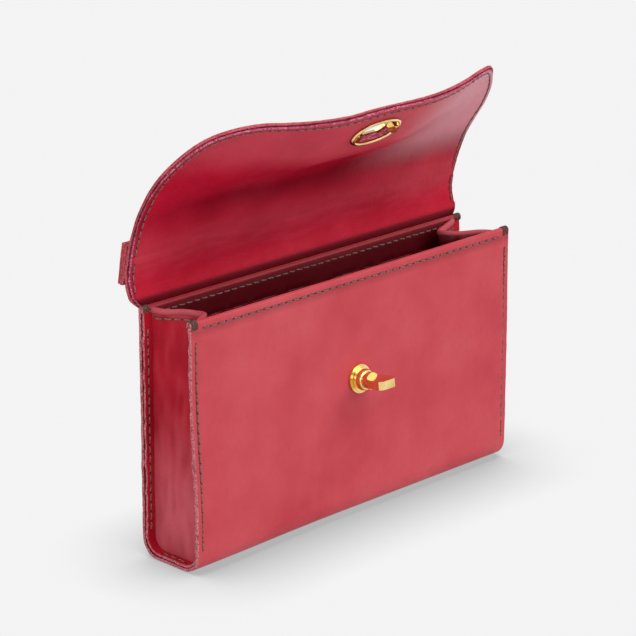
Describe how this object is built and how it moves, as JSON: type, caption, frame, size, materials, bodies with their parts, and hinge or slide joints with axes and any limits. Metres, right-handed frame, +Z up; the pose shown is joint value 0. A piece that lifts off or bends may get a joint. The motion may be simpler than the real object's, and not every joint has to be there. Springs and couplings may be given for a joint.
{
  "type": "wristlet wallet",
  "caption": "Slim stitched leather wallet with folding side gussets, a shaped flap with a hand strap across its outside, and a brass turn lock that passes through an eyelet.",
  "frame": {"origin": "the centre of the flat bottom face that the wallet stands on", "axes": "+X is to the right seen from the front, -Y is the front with the lock, +Z is up"},
  "size_m": [0.212, 0.076, 0.2028],
  "materials": {
    "outer_leather": "smooth coral red calf leather with a soft sheen",
    "gusset_leather": "thin deep red leather, wrinkled where it folds",
    "lining_leather": "smooth deep red lining leather, satin",
    "thread": "waxed grey-brown thread",
    "brass": "polished brass"
  },
  "bodies": {
    "pouch": {"body_outer": "outer_leather", "left_gusset": "gusset_leather", "right_gusset": "gusset_leather", "left_seam_thread": "thread", "right_seam_thread": "thread", "front_hem_thread": "thread", "back_hem_thread": "thread", "gusset_hem_threads": "thread", "corner_bar_tacks": "thread", "flap_sewn_margin": "outer_leather", "flap_margin_thread": "thread", "lock_base": "brass", "lock_backing_plate": "brass", "lock_spring_washer": "brass"},
    "toggle": {"lock_toggle": "brass", "lock_spindle": "brass"},
    "flap_base": {"flap_base_outer": "outer_leather", "flap_base_lining": "lining_leather", "flap_base_thread": "thread", "strap_end_pads": "outer_leather", "hand_strap": "outer_leather", "strap_thread": "thread"},
    "flap_front": {"flap_front_outer": "outer_leather", "flap_front_lining": "lining_leather", "flap_front_thread": "thread", "eyelet_frame": "brass", "eyelet_back_ring": "brass"}
  },
  "joints": [
    {"name": "flap_hinge", "type": "hinge", "parent": "pouch", "child": "flap_base", "pos_m": [0, 0.01833, 0.119], "axis": [1, 0, 0], "range_deg": [-95, 85.4]},
    {"name": "flap_fold", "type": "hinge", "parent": "flap_base", "child": "flap_front", "pos_m": [0, 0.01459, 0.15701], "axis": [1, 0, 0], "range_deg": [-30, 37.4]},
    {"name": "toggle_turn", "type": "hinge", "parent": "pouch", "child": "toggle", "pos_m": [0, -0.017, 0.067], "axis": [0, -0.9945, 0.1045], "range_deg": [-90, 90]}
  ]
}
